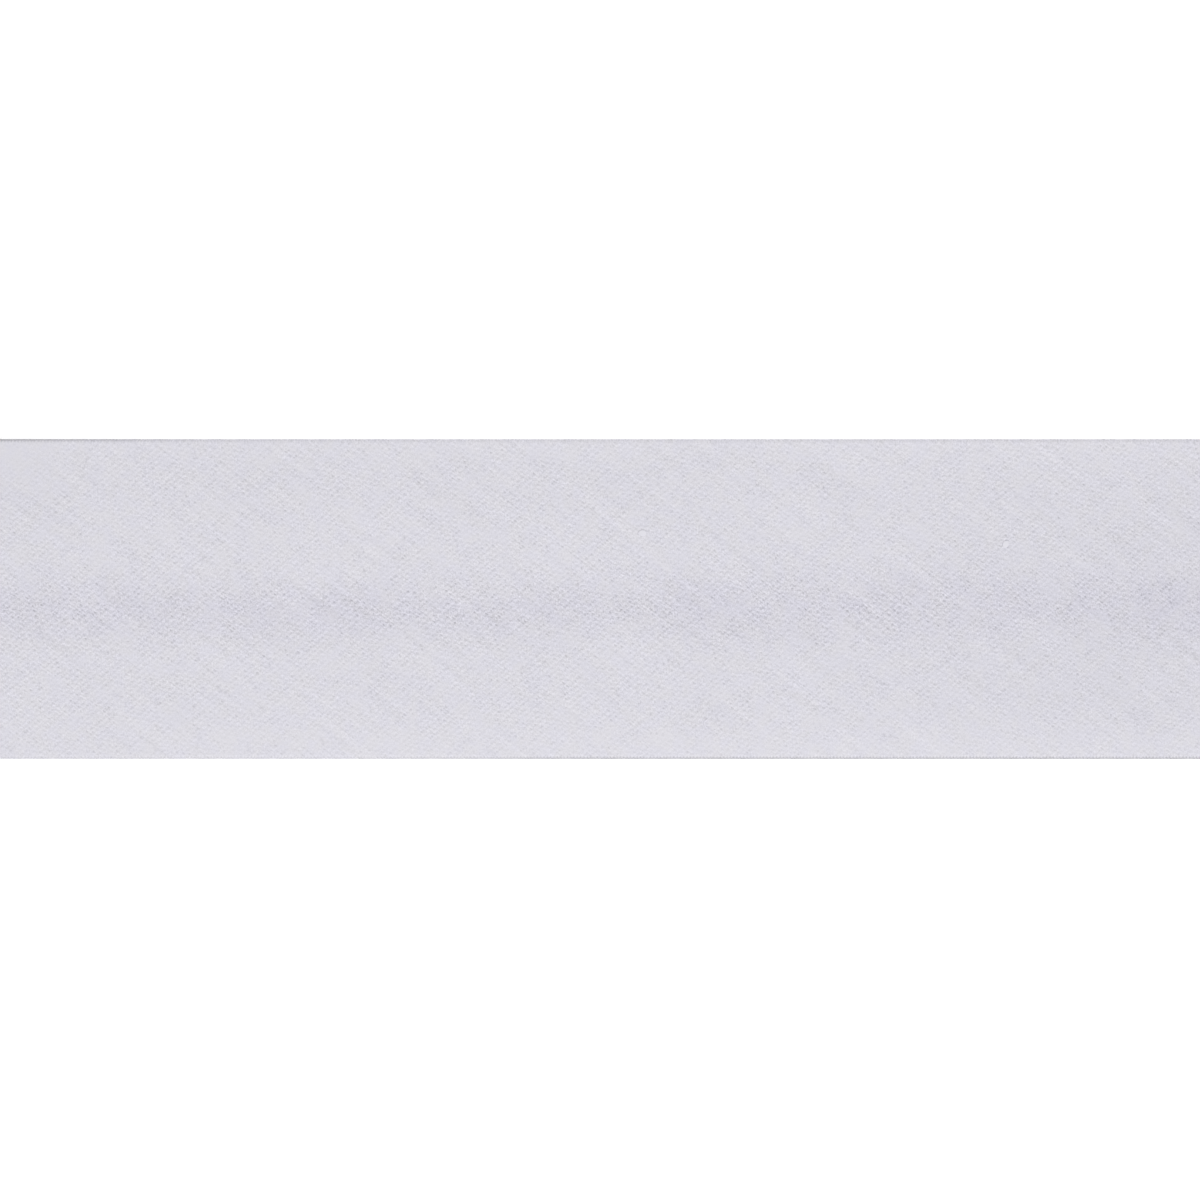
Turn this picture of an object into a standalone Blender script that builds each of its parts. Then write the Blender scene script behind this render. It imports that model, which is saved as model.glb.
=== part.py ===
"""A cut length of single-fold bias tape, lying face up with both long edges turned under.

The tape is one strip of cloth, so it is one solid. Its section is swept along X: a turned-under edge,
a pressed fold, the face, the other fold and the other turned-under edge. The two raw edges wander under
the face, and the face dips a little where only one layer lies. The origin is under the middle of the tape.
"""

import math
from collections import namedtuple

import bmesh
import bpy
import numpy as np

MM = 0.001

# Driving sizes
LENGTH = 100 * MM
FINISHED_WIDTH = 25 * MM
CLOTH = 1.0 * MM
LAYER_GAP = 0.3 * MM
CUT_STEP = 3.125 * MM

# How finely the section is divided
STEPS_IN_FOLD = 8
STEPS_IN_FACE = 26

# The cloth's middle line turns on this radius at each fold
FOLD_RADIUS = (CLOTH + LAYER_GAP) / 2
FOLD_Y = FINISHED_WIDTH / 2 - CLOTH / 2 - FOLD_RADIUS
EDGE_Z = CLOTH / 2
FACE_Z = EDGE_Z + 2 * FOLD_RADIUS

# How far beyond the raw edges the dip in the face reaches
DIP_SHOULDER = 0.9 * MM

# Where the raw edges lie along the tape, and how deep the face dips between them, in millimetres
Station = namedtuple("Station", "x far_edge near_edge dip")
STATIONS = (
    Station(x=-50.0, far_edge=1.35, near_edge=-3.05, dip=0.16),
    Station(x=-40.0, far_edge=1.40, near_edge=-3.20, dip=0.18),
    Station(x=-30.0, far_edge=1.25, near_edge=-2.95, dip=0.13),
    Station(x=-20.0, far_edge=1.40, near_edge=-3.20, dip=0.18),
    Station(x=-10.0, far_edge=1.35, near_edge=-2.55, dip=0.10),
    Station(x=-4.0, far_edge=1.40, near_edge=-2.40, dip=0.14),
    Station(x=5.0, far_edge=1.45, near_edge=-2.05, dip=0.10),
    Station(x=12.0, far_edge=2.20, near_edge=-2.00, dip=0.16),
    Station(x=20.0, far_edge=2.05, near_edge=-1.85, dip=0.12),
    Station(x=28.0, far_edge=2.00, near_edge=-2.60, dip=0.13),
    Station(x=36.0, far_edge=2.40, near_edge=-3.40, dip=0.17),
    Station(x=44.0, far_edge=2.45, near_edge=-3.55, dip=0.20),
    Station(x=50.0, far_edge=2.30, near_edge=-3.30, dip=0.17),
)

# The cloth's colour is linear
CLOTH_COLOUR = (0.694, 0.687, 0.738, 1.0)
CLOTH_ROUGHNESS = 0.9


def clear_scene():
    """Removes every object, so that the part stands alone."""
    for old in list(bpy.data.objects):
        bpy.data.objects.remove(old, do_unlink=True)


def along_tape(column, x):
    """The value of one column of the stations at x, eased from each station to the next."""
    places = [s.x * MM for s in STATIONS]
    values = [getattr(s, column) * MM for s in STATIONS]
    place = min(max(x, places[0]), places[-1])
    right = min(max(int(np.searchsorted(places, place)), 1), len(places) - 1)
    share = (place - places[right - 1]) / (places[right] - places[right - 1])
    eased = share * share * (3 - 2 * share)
    return values[right - 1] + eased * (values[right] - values[right - 1])


def face_height(x, y):
    """The height of the face's middle line: level over the turned-under edges and dipped between them."""
    far_edge = along_tape("far_edge", x)
    near_edge = along_tape("near_edge", x)
    middle = (far_edge + near_edge) / 2
    reach = (far_edge - near_edge) / 2 + DIP_SHOULDER
    off = min(abs(y - middle) / reach, 1.0)
    return FACE_Z - along_tape("dip", x) * (1 + math.cos(math.pi * off)) / 2


def fold_points(side):
    """The middle line round one fold, from the turned-under edge up to the face. side is +1 or -1."""
    for step in range(STEPS_IN_FOLD + 1):
        turn = math.pi * (step / STEPS_IN_FOLD - 0.5)
        yield (
            side * (FOLD_Y + FOLD_RADIUS * math.cos(turn)),
            EDGE_Z + FOLD_RADIUS * (1 + math.sin(turn)),
        )


def middle_line(x):
    """The cloth's middle line in the section at x, from the far raw edge to the near one, as (y, z)."""
    line = [(along_tape("far_edge", x), EDGE_Z)]
    line += fold_points(+1)
    for y in np.linspace(FOLD_Y, -FOLD_Y, STEPS_IN_FACE + 1)[1:-1]:
        line.append((float(y), face_height(x, y)))
    line += reversed(list(fold_points(-1)))
    line.append((along_tape("near_edge", x), EDGE_Z))
    return line


def outward_normal(before, after):
    """The unit normal of the middle line between two of its points, pointing out of the folded tape."""
    run = after[0] - before[0]
    rise = after[1] - before[1]
    size = math.hypot(run, rise)
    return rise / size, -run / size


def section(x):
    """The closed outline at x: the cloth's outer side, then its inner side back again."""
    line = middle_line(x)
    outer, inner = [], []
    for i, (y, z) in enumerate(line):
        on_fold = abs(y) > FOLD_Y - 1e-9
        if on_fold:
            reach_y = math.copysign(abs(y) - FOLD_Y, y)
            normal = (reach_y / FOLD_RADIUS, (z - EDGE_Z - FOLD_RADIUS) / FOLD_RADIUS)
        else:
            normal = outward_normal(line[max(i - 1, 0)], line[min(i + 1, len(line) - 1)])
        outer.append((y + normal[0] * CLOTH / 2, z + normal[1] * CLOTH / 2))
        inner.append((y - normal[0] * CLOTH / 2, z - normal[1] * CLOTH / 2))
    return outer + inner[::-1]


def cloth_material():
    """White cloth with a faint lavender cast."""
    material = bpy.data.materials.new("binding_cloth")
    material.use_nodes = True
    shader = material.node_tree.nodes["Principled BSDF"]
    shader.inputs["Base Color"].default_value = CLOTH_COLOUR
    shader.inputs["Roughness"].default_value = CLOTH_ROUGHNESS
    shader.inputs["Metallic"].default_value = 0.0
    return material


def build_tape():
    """Sweeps the section along the tape and closes its two cut ends."""
    cuts = round(LENGTH / CUT_STEP)
    mesh = bpy.data.meshes.new("tape")
    bm = bmesh.new()
    rings = []
    for x in np.linspace(-LENGTH / 2, LENGTH / 2, cuts + 1):
        rings.append([bm.verts.new((x, y, z)) for y, z in section(float(x))])
    for ring, following in zip(rings, rings[1:]):
        for i in range(len(ring)):
            j = (i + 1) % len(ring)
            bm.faces.new((ring[i], ring[j], following[j], following[i]))
    bm.faces.new(rings[0][::-1])
    bm.faces.new(rings[-1])
    bmesh.ops.recalc_face_normals(bm, faces=bm.faces[:])
    bm.to_mesh(mesh)
    bm.free()
    mesh.materials.append(cloth_material())
    mesh.shade_smooth()
    mesh.set_sharp_from_angle(angle=math.radians(35))
    tape = bpy.data.objects.new("tape", mesh)
    bpy.context.scene.collection.objects.link(tape)
    return tape


clear_scene()
build_tape()
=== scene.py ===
"""Dresses a cut length of single-fold bias tape in woven cotton, on a pale floor.

The tape is one strip cut on the bias. It is laid out flat, with a point on each thread crossing of its face
and in each small hollow between four threads. Geometry Nodes then turn its long edges under and raise the
weave. Loose thread ends stand at its cuts, and short hairs, small neps and a curl of lint lie on it.
"""

import math
from collections import namedtuple

import bmesh
import bpy
import numpy as np
from mathutils import Matrix, Vector, geometry


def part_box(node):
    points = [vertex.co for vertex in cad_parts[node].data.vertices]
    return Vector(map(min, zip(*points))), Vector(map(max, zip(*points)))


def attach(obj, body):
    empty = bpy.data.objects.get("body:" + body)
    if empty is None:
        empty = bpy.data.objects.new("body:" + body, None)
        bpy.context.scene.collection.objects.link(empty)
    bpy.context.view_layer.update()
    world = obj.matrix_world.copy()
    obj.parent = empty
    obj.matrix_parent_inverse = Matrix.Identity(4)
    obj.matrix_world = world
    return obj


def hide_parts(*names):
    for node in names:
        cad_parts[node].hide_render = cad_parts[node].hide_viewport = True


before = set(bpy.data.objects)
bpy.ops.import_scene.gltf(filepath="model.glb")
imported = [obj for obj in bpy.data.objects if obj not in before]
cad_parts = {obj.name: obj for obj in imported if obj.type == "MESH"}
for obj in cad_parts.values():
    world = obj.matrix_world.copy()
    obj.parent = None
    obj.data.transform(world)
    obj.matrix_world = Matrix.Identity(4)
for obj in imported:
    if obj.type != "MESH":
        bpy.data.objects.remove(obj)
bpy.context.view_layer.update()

bl_info = {
    "name": "Single-fold bias tape",
    "version": (1, 0, 0),
    "blender": (4, 5, 0),
    "location": "3D View > Sidebar > Bias tape",
    "description": "Weaves and folds a cut length of cotton bias tape, and lights it on a pale floor",
    "category": "Mesh",
}

MM = 0.001

# The length of cloth that the UV map's 0 to 1 spans
UV_SPAN = 0.1

# The CAD tape gives the length and the finished width
TAPE_LOW, TAPE_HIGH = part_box("tape")
LENGTH = TAPE_HIGH.x - TAPE_LOW.x
FINISHED_WIDTH = TAPE_HIGH.y - TAPE_LOW.y
HALF_LENGTH = LENGTH / 2
HALF_WIDTH = FINISHED_WIDTH / 2

# Along the tape, in millimetres: where the two raw edges lie under the face, how far the face dips between
# them, and the middle and half width of the painted shade there, the shadowed gap seen through the one
# layer.
# As shares: how dark that painted shade is, and how dark the painted shade on the far and near folds is
Station = namedtuple("Station", "x far_edge near_edge dip band_y band_half depth far_line near_line")
STATIONS = (
    Station(-50.0, 1.35, -3.05, 0.10, -0.80, 1.80, 0.62, 0.85, 0.36),
    Station(-40.0, 1.40, -3.20, 0.11, -0.80, 1.90, 0.68, 0.50, 0.34),
    Station(-30.0, 1.25, -2.95, 0.08, -0.80, 1.80, 0.60, 0.12, 0.34),
    Station(-20.0, 1.40, -3.20, 0.11, -0.80, 1.50, 0.98, 0.06, 0.36),
    Station(-15.0, 1.38, -2.88, 0.09, -0.85, 1.80, 0.52, 0.04, 0.42),
    Station(-10.0, 1.35, -2.55, 0.07, -0.75, 2.00, 0.48, 0.02, 0.48),
    Station(-4.0, 1.40, -2.40, 0.09, -0.65, 1.90, 0.60, 0.00, 0.66),
    Station(4.0, 1.45, -2.05, 0.07, -0.10, 2.20, 0.45, 0.00, 0.70),
    Station(8.0, 1.70, -2.05, 0.08, -0.70, 2.10, 0.92, 0.00, 0.71),
    Station(12.0, 2.20, -2.00, 0.10, -0.60, 2.50, 0.58, 0.00, 0.71),
    Station(20.0, 2.05, -1.85, 0.08, -0.60, 1.95, 0.66, 0.00, 0.72),
    Station(28.0, 2.00, -2.60, 0.09, -0.30, 2.60, 0.58, 0.02, 0.72),
    Station(36.0, 2.40, -3.40, 0.11, -0.30, 1.70, 0.66, 0.02, 0.74),
    Station(44.0, 2.45, -3.55, 0.13, -0.40, 1.90, 0.92, 0.05, 0.74),
    Station(50.0, 2.30, -3.30, 0.11, -0.40, 1.90, 0.92, 0.05, 0.74),
)

# Broad soft patches of painted shade on the face (depth above 0) and of painted light, in millimetres
Shade = namedtuple("Shade", "x y reach_x reach_y depth")
SHADES = (
    Shade(42.0, 3.5, 15.0, 6.5, 0.78),
    Shade(40.0, -7.0, 17.0, 5.0, 0.82),
    Shade(14.0, 3.5, 8.0, 3.0, 0.22),
    Shade(12.0, -6.5, 26.0, 3.5, 0.24),
    Shade(-46.0, 8.5, 7.0, 3.0, 0.22),
    Shade(0.0, -12.8, 60.0, 3.2, -0.42),
    Shade(-24.0, 5.0, 16.0, 4.0, -0.14),
    Shade(0.0, 12.6, 60.0, 1.5, -0.35),
    Shade(0.0, 9.0, 60.0, 2.5, 0.16),
    Shade(-36.0, -3.0, 14.0, 2.5, -0.16),
)

# Places where the weave shows less, in millimetres, and by what share
Calm = namedtuple("Calm", "x y reach_x reach_y share")
CALMS = (
    Calm(-46.5, 10.8, 5.0, 2.8, 0.60),
    Calm(0.0, -12.5, 80.0, 2.8, 0.34),
    Calm(0.0, 12.5, 80.0, 1.6, 0.20),
    Calm(-27.0, -8.0, 6.0, 3.0, 0.14),
    Calm(28.0, -9.0, 5.0, 2.5, 0.16),
    Calm(-17.0, 4.5, 9.0, 2.0, 0.10),
)

# Small knots of fibre on the face, in millimetres, and the curl of lint that lies on it
Nep = namedtuple("Nep", "x y size")
NEPS = (
    Nep(3.3, 5.1, 0.34),
    Nep(31.7, 4.2, 0.32),
)
CURL_PLACE = (8.46 * MM, -9.67 * MM)
CURL_TURN = math.radians(-60)

# Thick places in the falling threads that catch the eye, in millimetres from one end to the other
Slub = namedtuple("Slub", "x y length lift")
SLUBS = (
    Slub(30.2, 8.5, 16.0, 1.0),
    Slub(31.6, 8.9, 12.0, -0.8),
    Slub(-38.0, 6.0, 9.0, 0.7),
    Slub(-12.5, 9.0, 11.0, -0.7),
    Slub(2.0, 4.8, 8.0, 0.8),
    Slub(18.0, -3.0, 7.0, 0.7),
    Slub(-27.0, -4.0, 10.0, 0.6),
)


def smooth(share):
    """Eases 0..1 in and out, for numbers and arrays."""
    held = np.clip(share, 0.0, 1.0)
    return held * held * (3 - 2 * held)


def along_tape(column, x):
    """One column of the stations at every x, eased between stations. Lengths are in metres, both ways."""
    places = np.array([s.x for s in STATIONS]) * MM
    values = np.array([getattr(s, column) for s in STATIONS])
    right = np.clip(np.searchsorted(places, x), 1, len(places) - 1)
    share = smooth((x - places[right - 1]) / (places[right] - places[right - 1]))
    found = values[right - 1] + share * (values[right] - values[right - 1])
    return found if column in ("depth", "far_line", "near_line") else found * MM


def length_setting(name, description, default):
    """A length that the panel shows."""
    return bpy.props.FloatProperty(name=name, description=description, default=default, unit="LENGTH")


def angle_setting(name, description, degrees):
    """An angle that the panel shows."""
    return bpy.props.FloatProperty(
        name=name, description=description, default=math.radians(degrees), subtype="ANGLE"
    )


def number_setting(name, description, default):
    """A plain number that the panel shows."""
    return bpy.props.FloatProperty(name=name, description=description, default=default, min=0)


def colour_setting(name, description, default):
    """A linear colour that the panel shows."""
    return bpy.props.FloatVectorProperty(
        name=name, description=description, default=default, size=3, subtype="COLOR", min=0, max=1
    )


class ClothSettings(bpy.types.PropertyGroup):
    """The cloth, its weave and its folds."""

    thickness: length_setting("Thickness", "Thickness of one layer", 0.27 * MM)
    layer_gap: length_setting("Layer gap", "Air between the face and an edge turned under it", 0.12 * MM)
    relief: length_setting(
        "Weave relief", "How far a thread on top stands over one that passes under", 0.030 * MM
    )
    rising_angle: angle_setting("Rising angle", "Slope of the threads that rise to the right", 39.8)
    falling_angle: angle_setting("Falling angle", "Slope of the threads that fall to the right", 37.1)
    rising_pitch: length_setting(
        "Rising pitch", "From one rising thread to the next, square across them", 0.380 * MM
    )
    falling_pitch: length_setting(
        "Falling pitch", "From one falling thread to the next, square across them", 0.229 * MM
    )
    unevenness: length_setting("Unevenness", "Height of the face's slow waves", 0.06 * MM)
    sway: length_setting("Sway", "How far threads wander sideways", 0.40 * MM)
    colour: colour_setting("Cloth", "Colour where two layers lie", (0.6978, 0.6888, 0.7433))
    # Painted shade: the shadowed gap between the raw edges, seen through the one layer over it
    gap_shade_colour: colour_setting("Single layer", "Colour where one layer lies", (0.6558, 0.6451, 0.7140))
    # Painted shade: the dark line on the outer turn of each fold, where it turns from the light
    fold_shade_colour: colour_setting("Fold line", "Colour in the shade of a pressed fold", (0.20, 0.195, 0.215))


class TrimSettings(bpy.types.PropertyGroup):
    """Thread ends at the cuts, and what lies on the face."""

    end_length: length_setting("Thread end length", "Mean length of a loose thread end", 0.42 * MM)
    end_radius: length_setting("Thread end radius", "Radius of a loose thread end at its root", 0.075 * MM)
    hair_density: number_setting("Hair density", "Hairs on each square metre of cloth", 1.2e5)
    hair_length: length_setting("Hair length", "Mean length of a hair", 0.55 * MM)
    hair_radius: length_setting("Hair radius", "Radius of a hair", 0.006 * MM)
    curl_radius: length_setting("Curl radius", "Radius of the curl of lint", 0.40 * MM)
    seed: bpy.props.IntProperty(name="Seed", description="Picks the chance turns", default=7)


class StageSettings(bpy.types.PropertyGroup):
    """Floor, lights and camera."""

    frame_width: length_setting("Frame width", "Length of tape that the camera sees", 93.75 * MM)
    below_centre: length_setting("Below centre", "From the tape's middle down to the frame's", 0.075 * MM)
    lens: number_setting("Lens", "Focal length in millimetres", 100.0)
    sky: number_setting("Sky", "Strength of the even light from all round", 0.755)
    softbox: number_setting("Softbox", "Power of the soft light, in watts", 0.80)
    floor_glow: number_setting("Floor glow", "Light that the floor adds of its own", 0.45)
    floor_colour: colour_setting("Floor", "Colour of the floor", (0.9, 0.9, 0.9))


class Nodes:
    """Adds nodes to one tree and feeds their sockets."""

    def __init__(self, tree):
        self.tree = tree

    def feed(self, socket, value):
        """Links a value or a socket to this socket, or sets it to a constant."""
        if isinstance(value, Value):
            self.tree.links.new(value.socket, socket)
        elif isinstance(value, bpy.types.NodeSocket):
            self.tree.links.new(value, socket)
        else:
            socket.default_value = value

    def add(self, kind, settings=None, inputs=None):
        """A node of this type, with its settings made before its sockets are fed."""
        node = self.tree.nodes.new(kind)
        for name, setting in (settings or {}).items():
            setattr(node, name, setting)
        for key, value in (inputs or {}).items():
            self.feed(node.inputs[key], value)
        return node

    def value(self, kind, settings=None, inputs=None, output=0):
        """As add, but gives one output as a value that arithmetic works on."""
        return Value(self, self.add(kind, settings, inputs).outputs[output])

    def vector(self, x, y, z=0.0):
        """Three numbers as one vector socket."""
        return self.add("ShaderNodeCombineXYZ", inputs={"X": x, "Y": y, "Z": z}).outputs[0]

    def parts(self, vector):
        """The three numbers of a vector socket, as values."""
        node = self.add("ShaderNodeSeparateXYZ", inputs={"Vector": vector})
        return tuple(Value(self, node.outputs[axis]) for axis in "XYZ")

    def place(self):
        """A point's x, y and z, inside a Geometry Nodes tree."""
        return self.parts(self.add("GeometryNodeInputPosition").outputs[0])

    def mark(self, name):
        """A point's mark of this name, inside a Geometry Nodes tree."""
        return self.value("GeometryNodeInputNamedAttribute", {"data_type": "FLOAT"}, {"Name": name})

    def attribute(self, name):
        """A mark of the cloth, inside a material."""
        return self.value("ShaderNodeAttribute", {"attribute_name": name}, output=2)

    def drawn(self, low, high, seed):
        """A number between low and high, drawn for each point of a Geometry Nodes tree."""
        return self.value(
            "FunctionNodeRandomValue", {"data_type": "FLOAT"}, {2: low, 3: high, "Seed": seed}, output=1
        )

    def turned(self, angle):
        """A rotation by this angle about Z."""
        upright = self.vector(0.0, 0.0, angle)
        return self.add("FunctionNodeEulerToRotation", inputs={0: upright}).outputs[0]

    def stored(self, shape, name, value):
        """The shape with this number written on its points."""
        return self.add(
            "GeometryNodeStoreNamedAttribute", {"data_type": "FLOAT", "domain": "POINT"},
            {"Geometry": shape, "Name": name, "Value": value},
        ).outputs[0]

    def tube(self, curve, sides, radius):
        """A tube of this radius along a curve, closed at its ends."""
        ring = self.add("GeometryNodeCurvePrimitiveCircle", inputs={"Resolution": sides, "Radius": 1.0})
        return self.add("GeometryNodeCurveToMesh", inputs={
            "Curve": curve, "Profile Curve": ring.outputs[0], "Scale": radius, "Fill Caps": True,
        }).outputs[0]

    def noise(self, x, y, scale, detail=2.0, spread=0.5):
        """Smooth noise from about 0 to 1 over a plane, scale being its lumps per unit.

        Noise read a few units off to one side is unlike what is read at the place itself.
        """
        return self.value(
            "ShaderNodeTexNoise",
            {"noise_dimensions": "2D"},
            {"Vector": self.vector(x, y), "Scale": scale, "Detail": detail, "Roughness": spread},
        )

    def chance(self, x, y):
        """A number from 0 to 1 that is unlike its neighbours', for whole x and y."""
        return self.value(
            "ShaderNodeTexWhiteNoise", {"noise_dimensions": "2D"}, {"Vector": self.vector(x, y)}
        )

    def mixed(self, share, first, second):
        """The colour that share of the way from first to second."""
        node = self.add("ShaderNodeMix", {"data_type": "RGBA"}, {0: share, 6: first, 7: second})
        return node.outputs[2]

    def toned(self, colour, tone):
        """The colour scaled by this tone."""
        inputs = {0: colour, "Scale": tone}
        return self.add("ShaderNodeVectorMath", {"operation": "SCALE"}, inputs).outputs[0]


class Value:
    """A number's socket. Arithmetic on it adds Math nodes."""

    def __init__(self, nodes, socket):
        self.nodes = nodes
        self.socket = socket

    def math(self, operation, *operands):
        return self.nodes.value("ShaderNodeMath", {"operation": operation}, dict(enumerate(operands)))

    def __add__(self, other):
        return self.math("ADD", self, other)

    def __radd__(self, other):
        return self.math("ADD", other, self)

    def __sub__(self, other):
        return self.math("SUBTRACT", self, other)

    def __rsub__(self, other):
        return self.math("SUBTRACT", other, self)

    def __mul__(self, other):
        return self.math("MULTIPLY", self, other)

    def __rmul__(self, other):
        return self.math("MULTIPLY", other, self)

    def __truediv__(self, other):
        return self.math("DIVIDE", self, other)

    def __abs__(self):
        return self.math("ABSOLUTE", self)

    def sign(self):
        return self.math("SIGN", self)

    def sine(self):
        return self.math("SINE", self)

    def cosine(self):
        return self.math("COSINE", self)

    def crowned(self):
        """The cosine of a count of threads: 1 on each thread and -1 halfway to the next."""
        return (self * (2 * math.pi)).cosine()

    def root(self):
        return self.math("SQRT", self)

    def whole(self):
        return self.math("ROUND", self)

    def at_least(self, other):
        return self.math("MAXIMUM", self, other)

    def at_most(self, other):
        return self.math("MINIMUM", self, other)

    def held(self):
        """Kept between 0 and 1."""
        return self.at_least(0.0).at_most(1.0)


def new_geometry_tree(name, inputs):
    """A Geometry Nodes tree with named inputs, as (nodes, geometry socket, values by name)."""
    tree = bpy.data.node_groups.new(name, "GeometryNodeTree")
    tree.is_modifier = True
    tree.interface.new_socket("Geometry", in_out="OUTPUT", socket_type="NodeSocketGeometry")
    tree.interface.new_socket("Geometry", in_out="INPUT", socket_type="NodeSocketGeometry")
    for label, kind in inputs.items():
        tree.interface.new_socket(label, in_out="INPUT", socket_type=kind)
    nodes = Nodes(tree)
    source = nodes.add("NodeGroupInput")
    values = {label: Value(nodes, source.outputs[label]) for label in inputs}
    return nodes, source.outputs["Geometry"], values


def close_geometry_tree(nodes, result, material):
    """Ends the tree in Realize Instances and Set Material."""
    real = nodes.add("GeometryNodeRealizeInstances", inputs={"Geometry": result})
    dressed = nodes.add(
        "GeometryNodeSetMaterial", inputs={"Geometry": real.outputs[0], "Material": material}
    )
    nodes.add("NodeGroupOutput", inputs={"Geometry": dressed.outputs[0]})
    return nodes.tree


def run_tree(piece, tree, values):
    """Runs the tree on the piece with these inputs, and leaves its result there as a plain mesh."""
    modifier = piece.modifiers.new(tree.name, "NODES")
    modifier.node_group = tree
    for item in tree.interface.items_tree:
        if item.in_out == "INPUT" and item.name in values:
            modifier[item.identifier] = values[item.name]
    graph = bpy.context.evaluated_depsgraph_get()
    made = bpy.data.meshes.new_from_object(
        piece.evaluated_get(graph), preserve_all_data_layers=True, depsgraph=graph
    )
    piece.modifiers.remove(modifier)
    flat = piece.data
    piece.data = made
    bpy.data.meshes.remove(flat)
    made.name = piece.name


def new_piece(name, mesh):
    """Links a mesh to the scene as a piece of the tape."""
    piece = bpy.data.objects.new(name, mesh)
    bpy.context.scene.collection.objects.link(piece)
    return piece


def settle(piece):
    """Says what the piece rides on."""
    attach(piece, "root")


# How closely points are set on the flat strip, and how clear of its rim
FACE_ROW = 0.22 * MM
FOLD_STEPS = 7
FOLD_COLUMN = 0.26 * MM
FLAP_ROW = 0.46 * MM
INNER_ROW = 0.52 * MM
RIM_COLUMN = 0.40 * MM
RIM_CLEAR = 0.13 * MM

# How unevenly the rim is cut
RAW_EDGE_FRAY = 0.07 * MM
CUT_END_FRAY = 0.03 * MM
RIM_SEED = 11

# Edges of the flat strip that turn by more than this are sharp
SHARP_ANGLE = math.radians(70)

# How far inside the folds and cut ends the face comes to stray freely
FREE_RUN = 2 * MM

# How far to each side of a raw edge the dip in the face and the painted shade of the gap fade
DIP_SLOPE = 1.5 * MM
BAND_SLOPE = 2.2 * MM

# How much more the weave shows where one layer lies
CRISPER_SINGLE = 0.40

# How steeply a slub tapers at its ends, and how narrow it is against the pitch of its threads
SLUB_TAPER = 5
SLUB_NARROWNESS = 2

# How steeply the painted shade on a fold comes on round its fold, how late, and how steeply it goes again
FOLD_SHADE_RISE = 5
FOLD_SHADE_DELAY = 0.75
FOLD_SHADE_FALL = 3


class Folds:
    """Where the flat cloth turns under, worked out from its thickness. s is a place across the cloth."""

    def __init__(self, cloth):
        self.radius = (cloth.thickness + cloth.layer_gap) / 2
        self.line = HALF_WIDTH - self.radius - cloth.thickness / 2
        self.end = self.line + math.pi * self.radius

    def raw_edge(self, side, x):
        """How far across the flat strip the raw edge on one side lies at x."""
        under = along_tape("far_edge", x) if side > 0 else -along_tape("near_edge", x)
        return side * (self.end + self.line - under)

    def gap(self, places):
        """How far inside the gap between the raw edges each flat place lies; over 0 is inside."""
        x, s = places[:, 0], places[:, 1]
        far, near = along_tape("far_edge", x), along_tape("near_edge", x)
        return (far - near) / 2 - np.abs(s - (far + near) / 2)

    def marks(self, places):
        """What folding needs at each flat place: how far the face dips, and how freely it may stray."""
        x, s = places[:, 0], places[:, 1]
        on_face = np.abs(s) < self.end
        clear = smooth((self.line - np.abs(s)) / FREE_RUN) * smooth((HALF_LENGTH - np.abs(x)) / FREE_RUN)
        dip = along_tape("dip", np.clip(x, -HALF_LENGTH, HALF_LENGTH))
        return {"dip": dip * smooth(self.gap(places) / (2 * DIP_SLOPE) + 0.5) * on_face, "free": clear}


def thread_axes(cloth):
    """The matrix that turns a flat place in metres into a count of rising and of falling threads."""
    rising = np.array([-math.sin(cloth.rising_angle), math.cos(cloth.rising_angle)]) / cloth.rising_pitch
    falling = np.array([math.sin(cloth.falling_angle), math.cos(cloth.falling_angle)]) / cloth.falling_pitch
    return np.array([rising, falling])


def weave_points(cloth, folds):
    """A flat point on every thread crossing of the face and one in every hollow between four threads."""
    axes = thread_axes(cloth)
    reach = np.abs(axes) @ np.array([HALF_LENGTH, folds.line])
    rising, falling = (np.arange(-math.ceil(r), math.ceil(r) + 1) for r in reach)
    crossings = np.stack(np.meshgrid(rising, falling), axis=-1).reshape(-1, 2)
    places = np.vstack([crossings, crossings + 0.5]) @ np.linalg.inv(axes).T
    on_face = np.abs(places[:, 1]) < folds.line - RIM_CLEAR / 2
    inside = np.abs(places[:, 0]) < HALF_LENGTH - RIM_CLEAR
    return places[on_face & inside]


def grid_points(rows, columns):
    """A point for each row and column, every other row moved half a step along."""
    step = columns[1] - columns[0]
    found = [
        np.stack([columns[:-1] + step * (0.5 if i % 2 else 0.25), np.full(len(columns) - 1, row)], axis=1)
        for i, row in enumerate(rows)
    ]
    return np.vstack(found)


def columns_at(step):
    """Places along the tape about a step apart, clear of its two cut ends."""
    count = round((LENGTH - 2 * RIM_CLEAR) / step)
    return np.linspace(-HALF_LENGTH + RIM_CLEAR, HALF_LENGTH - RIM_CLEAR, count + 1)


def flap_points(folds, side, step):
    """Flat points over one turned-under edge, in rows that spread from the fold to the raw edge."""
    columns = columns_at(step)
    widest = np.max(np.abs(folds.raw_edge(side, columns))) - folds.end
    rows = round(widest / step)
    shares = grid_points(np.arange(1, rows) / rows, columns)
    raw = folds.raw_edge(side, shares[:, 0])
    shares[:, 1] = side * folds.end + shares[:, 1] * (raw - side * folds.end)
    return shares


def fold_points(folds, side, step):
    """Flat points over one fold, in rows close enough to turn on."""
    return grid_points(side * np.linspace(folds.line, folds.end, FOLD_STEPS + 1), columns_at(step))


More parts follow.
